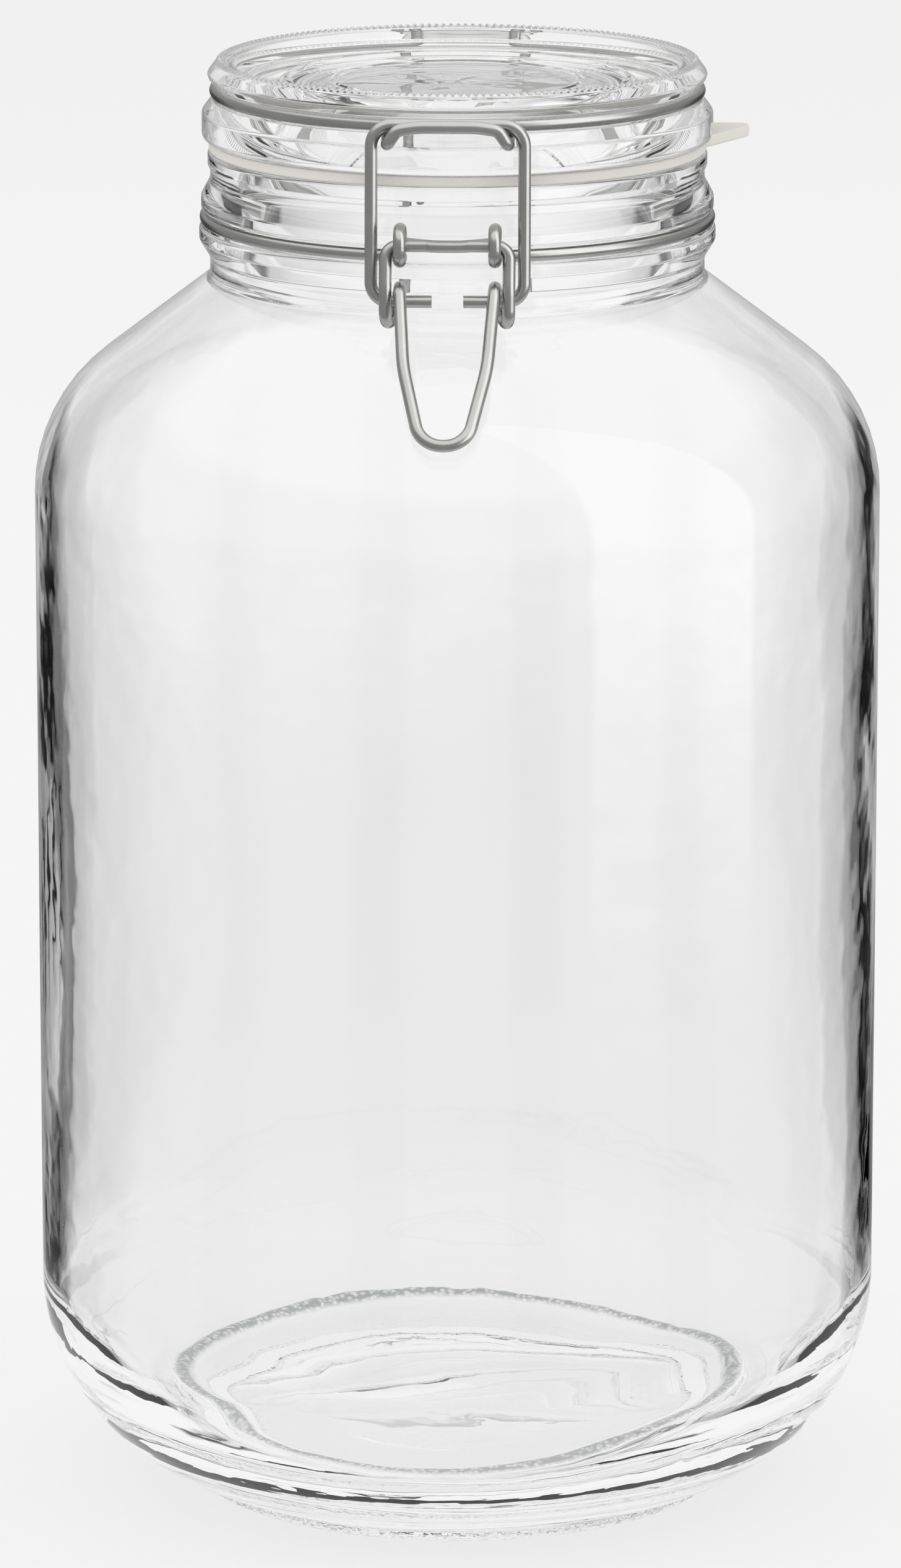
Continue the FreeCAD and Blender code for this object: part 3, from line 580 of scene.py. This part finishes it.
def rubber_material():
    """Matt rubber with a grain in its surface and a cloud in its colour."""
    made, tree = new_material("food_rubber_moulded")
    place = add(tree, "ShaderNodeTexCoord").outputs["Object"]
    grain = add(tree, "ShaderNodeTexNoise", {}, {
        "Vector": place, "Scale": 1 / (RUBBER_GRAIN * MM), "Detail": 3.0})
    cloud = add(tree, "ShaderNodeTexNoise", {}, {
        "Vector": place, "Scale": 1 / (RUBBER_CLOUD * MM), "Detail": 2.0})
    tone = add(tree, "ShaderNodeMix", MIX_COLOURS,
               {"Factor": cloud.outputs["Fac"], "A": colour("#DDD9D2"), "B": colour("#E6E3DD")})
    bump = add(tree, "ShaderNodeBump", {}, {"Strength": 0.25, "Distance": 0.2 * MM,
                                            "Height": grain.outputs["Fac"]})
    shader = add(tree, "ShaderNodeBsdfPrincipled", {}, {
        "Base Color": tone.outputs["Result"], "Roughness": 0.62, "Subsurface Weight": 0.15,
        "Subsurface Radius": (1.2 * MM, 1.0 * MM, 0.8 * MM), "Normal": bump})
    add(tree, "ShaderNodeOutputMaterial", {}, {"Surface": shader})
    return made


seal.data.materials.append(rubber_material())

# %% [markdown]
# ## Stainless steel wire, drawn
# The catch is cold-drawn stainless wire. The die leaves it smooth but not polished, so the eye
# sees a satin grey: soft bright lines along the wire that follow its bends, and no sharp mirror
# images. The wire solids keep their own meshes, because their bends are already exact. Only
# this finish is laid over them: a metal with a middling roughness that varies with a fine grain.

# %% The steel
WIRE_GRAIN, WIRE_CLOUD = 1.11, 8.33  # mm; drawn coarser than the real grain, which would not show


def steel_material():
    """Satin metal whose roughness and surface follow one grain, and its tone a wider cloud."""
    made, tree = new_material("stainless_wire_drawn")
    place = add(tree, "ShaderNodeTexCoord").outputs["Object"]
    grain = add(tree, "ShaderNodeTexNoise", {}, {
        "Vector": place, "Scale": 1 / (WIRE_GRAIN * MM), "Detail": 3.0})
    cloud = add(tree, "ShaderNodeTexNoise", {}, {
        "Vector": place, "Scale": 1 / (WIRE_CLOUD * MM), "Detail": 2.0})
    tone = add(tree, "ShaderNodeMix", MIX_COLOURS,
               {"Factor": cloud.outputs["Fac"], "A": colour("#B2B2B0"), "B": colour("#C2C2BF")})
    rough = add(tree, "ShaderNodeMapRange", {},
                {"Value": grain.outputs["Fac"], "To Min": 0.24, "To Max": 0.34})
    bump = add(tree, "ShaderNodeBump", {}, {"Strength": 0.05, "Distance": 0.1 * MM,
                                            "Height": grain.outputs["Fac"]})
    shader = add(tree, "ShaderNodeBsdfPrincipled", {}, {
        "Base Color": tone.outputs["Result"], "Metallic": 1.0, "Roughness": rough,
        "Normal": bump})
    add(tree, "ShaderNodeOutputMaterial", {}, {"Surface": shader})
    return made


steel = steel_material()
for node in ("neck_wire", "lid_wire", "lever_wire", "bail_wire"):
    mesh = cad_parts[node].data
    mesh.materials.clear()
    mesh.materials.append(steel)
    print(node, "has", mesh.materials[0].name)

# %% [markdown]
# ## The studio
# Glass has no colour of its own to light: it is drawn by what stands behind and beside it. So
# the studio is a ring of tall bright panels with dark gaps between them. Looked at straight, the
# jar shows a bright panel; at its edges the light is bent round into a dark gap, and that draws
# the outline. Real panels would be planes that shine, but then they would stand in the picture.
# The world can be bright or dark by direction, and by what kind of ray asks, so it holds them:
# rays through the glass see the ring, rays that the surface mirrors see it darker, with a long
# softbox at the right and a glow overhead, and the camera itself sees a plain pale wall.

# %% The ring of panels
PANEL_LOW, PANEL_HIGH = 0.87, 0.945          # the panels' foot and their middle
DEEP_GAP, SOFT_GAP, FALL = 0.015, 0.74, 0.60
GAP_SHIFT = math.radians(1.5)                # the gaps stand this far to one side
FALL_FROM, FALL_TO = math.radians(4), math.radians(15)
DEEP_FROM, DEEP_FULL = math.radians(15.5), math.radians(18.5)
DEEP_ENDS, SOFT_BEGINS = math.radians(41), math.radians(45)
SOFT_GAPS = 8.0


def ring_of_panels(tree, x, y):
    """How bright the ring is at each bearing from straight behind, arctan2(x, y). It falls
    evenly to FALL at 15 degrees, and a deep gap reaches from about 17 to 43. Beyond that, a
    soft gap lies wherever cos(8 * bearing) is low, which is every 45 degrees."""
    bearing = add(tree, "ShaderNodeMath", {"operation": "ARCTAN2"}, {0: x, 1: y})
    shifted = add(tree, "ShaderNodeMath", {"operation": "ADD"}, {0: bearing, 1: GAP_SHIFT})
    side = add(tree, "ShaderNodeMath", {"operation": "ABSOLUTE"}, {0: shifted})
    falling = add(tree, "ShaderNodeMapRange", {}, {
        "Value": side, "From Min": FALL_FROM, "From Max": FALL_TO, "To Min": 1.0, "To Max": FALL})
    gap = add(tree, "ShaderNodeMapRange", SMOOTH, {
        "Value": side, "From Min": DEEP_FROM, "From Max": DEEP_FULL, "To Min": 1.0,
        "To Max": DEEP_GAP})
    behind = add(tree, "ShaderNodeMath", MULTIPLY, {0: falling, 1: gap})
    turns = add(tree, "ShaderNodeMath", MULTIPLY, {0: side, 1: SOFT_GAPS})
    wave = add(tree, "ShaderNodeMath", {"operation": "COSINE"}, {0: turns})
    beside = add(tree, "ShaderNodeMapRange", SMOOTH, {
        "Value": wave, "From Min": -0.8, "From Max": -0.3, "To Min": SOFT_GAP, "To Max": 1.0})
    away = add(tree, "ShaderNodeMapRange", SMOOTH, {
        "Value": side, "From Min": DEEP_ENDS, "From Max": SOFT_BEGINS})
    return add(tree, "ShaderNodeMix", MIX_VALUES, {"Factor": away, "A": behind, "B": beside})


# %% What rays through the glass see
# Directions are unit vectors, so a height of 0.1 is about 6 degrees above the level.
world = bpy.data.worlds.new("studio")
scene.world = world
world.use_nodes = True
sky = world.node_tree
sky.nodes.clear()
way = add(sky, "ShaderNodeSeparateXYZ", {},
          {0: add(sky, "ShaderNodeTexCoord").outputs["Generated"]})
tall = way.outputs["Z"]
panels = ring_of_panels(sky, way.outputs["X"], way.outputs["Y"])
upward = add(sky, "ShaderNodeMapRange", SMOOTH,
             {"Value": tall, "From Min": -0.03, "From Max": 0.12})
ringed = add(sky, "ShaderNodeMix", MIX_VALUES, {"Factor": upward, "A": panels, "B": 1.0})
tone = add(sky, "ShaderNodeMapRange", SMOOTH, {
    "Value": tall, "From Min": -0.228, "From Max": -0.19, "To Min": PANEL_LOW,
    "To Max": PANEL_HIGH})
through = add(sky, "ShaderNodeMath", MULTIPLY, {0: ringed, 1: tone})
print("panels", PANEL_HIGH, "soft gaps", SOFT_GAP, "deep gap", DEEP_GAP)

# %% What the surfaces mirror
BOX_BEARING = math.radians(64)   # the softbox, from straight in front towards the right
BOX_EDGE, BOX_FULL = 0.893, 0.915  # cosines of 27 and 24 degrees from its middle
MIRRORED_RING, BOX_LIGHT, OVERHEAD = 0.38, 1.85, 0.6

front = add(sky, "ShaderNodeMath", MULTIPLY, {0: way.outputs["Y"], 1: -1.0})
bearing = add(sky, "ShaderNodeMath", {"operation": "ARCTAN2"}, {0: way.outputs["X"], 1: front})
offset = add(sky, "ShaderNodeMath", {"operation": "SUBTRACT"}, {0: bearing, 1: BOX_BEARING})
toward = add(sky, "ShaderNodeMath", {"operation": "COSINE"}, {0: offset})
box = add(sky, "ShaderNodeMapRange", SMOOTH,
          {"Value": toward, "From Min": BOX_EDGE, "From Max": BOX_FULL})
lift = add(sky, "ShaderNodeMapRange", SMOOTH,
           {"Value": tall, "From Min": -0.26, "From Max": -0.2})
softbox = add(sky, "ShaderNodeMath", MULTIPLY, {0: box, 1: lift})
glow = add(sky, "ShaderNodeMapRange", SMOOTH,
           {"Value": tall, "From Min": 0.45, "From Max": 0.7, "To Min": 0.0, "To Max": OVERHEAD})
lights = add(sky, "ShaderNodeMath", {"operation": "MAXIMUM"}, {0: softbox, 1: glow})
dim_ring = add(sky, "ShaderNodeMath", MULTIPLY, {0: ringed, 1: MIRRORED_RING})
shine = add(sky, "ShaderNodeMapRange", {},
            {"Value": lights, "To Min": dim_ring, "To Max": BOX_LIGHT})
print("softbox", BOX_LIGHT, "overhead", OVERHEAD, "of it")

# %% The plain wall, and which ray sees what
# Each mix lies over the one before. A camera ray sees the wall, a ray that has just come
# through glass sees the ring, a mirrored one sees the softbox, and all others a level 1.
WALL_LOW, WALL_HIGH = 0.88, 0.915

wall = add(sky, "ShaderNodeMapRange", SMOOTH, {
    "Value": tall, "From Min": -0.14, "From Max": -0.2, "To Min": WALL_LOW, "To Max": WALL_HIGH})
paths = add(sky, "ShaderNodeLightPath").outputs
level = 1.0
for ray, seen in (("Is Glossy Ray", shine), ("Is Transmission Ray", through),
                  ("Is Camera Ray", wall)):
    level = add(sky, "ShaderNodeMix", MIX_VALUES, {"Factor": paths[ray], "A": level, "B": seen})
light = add(sky, "ShaderNodeBackground", {}, {"Color": (1, 1, 1, 1), "Strength": level})
add(sky, "ShaderNodeOutputWorld", {}, {"Surface": light})
print("world nodes:", len(sky.nodes))

# %% [markdown]
# ## The floor
# The jar stands on a matt white painted table that seems to run on into the wall. A plane would
# show an edge there, so a disc does it: painted at the middle, where the jar's soft shadow falls,
# and fading to clear towards its rim. The eye sees paint without any shine. Most of its
# brightness is its own, as on a light table, which keeps the shadow faint.

# %% A round floor that fades out
FLOOR_R, FADE_FROM, FADE_TO = 240.0, 100.0, 235.0
OWN_LIGHT, OWN_SHARE = 0.925, 0.82


def floor_material():
    """Matt white with some light of its own, and clear towards the disc's rim."""
    made, tree = new_material("matt_white_paint")
    place = add(tree, "ShaderNodeTexCoord").outputs["Object"]
    away = add(tree, "ShaderNodeVectorMath", {"operation": "LENGTH"}, {0: place})
    far = add(tree, "ShaderNodeMapRange", SMOOTH, {
        "Value": away.outputs["Value"], "From Min": FADE_FROM * MM, "From Max": FADE_TO * MM})
    matt = add(tree, "ShaderNodeBsdfDiffuse", {}, {"Color": (0.92, 0.92, 0.92, 1)})
    own = add(tree, "ShaderNodeEmission", {}, {"Color": (1, 1, 1, 1), "Strength": OWN_LIGHT})
    clear = add(tree, "ShaderNodeBsdfTransparent")
    plain = add(tree, "ShaderNodeMixShader", {}, {0: OWN_SHARE, 1: matt, 2: own})
    surface = add(tree, "ShaderNodeMixShader", {}, {0: far, 1: plain, 2: clear})
    add(tree, "ShaderNodeOutputMaterial", {}, {"Surface": surface})
    return made


floor = turned("studio_floor", np.array([(0, 0), (60, 0), (120, 0), (FLOOR_R, 0)], float), 96)
floor.data.flip_normals()
floor.data.materials.append(floor_material())

# %% [markdown]
# ## The camera
# A long lens, from far off and a little above, keeps the jar's sides nearly parallel. Closer with
# a short lens, the lid would look too large for the base. Light crosses many skins of glass
# before it leaves the jar, so the paths may be long: with few bounces they would end early and
# leave dark patches in the heel and the neck.

# %% The camera
DISTANCE, HEIGHT = 1700.0, 534.9       # mm from the axis and above the floor
PITCH, BEARING, AIM = 13.103, 2.0, 0.0452  # degrees: down, round the jar, and aside
LENS, SENSOR = 203.4, 36.0             # mm
BOUNCES = 32

camera_data = bpy.data.cameras.new("camera")
camera_data.lens = LENS
camera_data.sensor_width = SENSOR
camera = bpy.data.objects.new("camera", camera_data)
scene.collection.objects.link(camera)
turn_to = math.radians(BEARING)
camera.location = (DISTANCE * MM * math.sin(turn_to), -DISTANCE * MM * math.cos(turn_to),
                   HEIGHT * MM)
camera.rotation_euler = (math.radians(90 - PITCH), 0, turn_to + math.radians(AIM))
scene.camera = camera
scene.view_settings.view_transform = "Standard"
scene.cycles.max_bounces = BOUNCES
scene.cycles.transmission_bounces = BOUNCES
scene.cycles.glossy_bounces = BOUNCES
print("camera at", [round(v, 3) for v in camera.location], "lens", LENS, "mm")

# %% [markdown]
# ## Finish
# The new skins must stay inside the box of the CAD model, because others fit their parts to that
# box. The script ends by bringing the view layer up to date.

# %% Finish
bpy.context.view_layer.update()
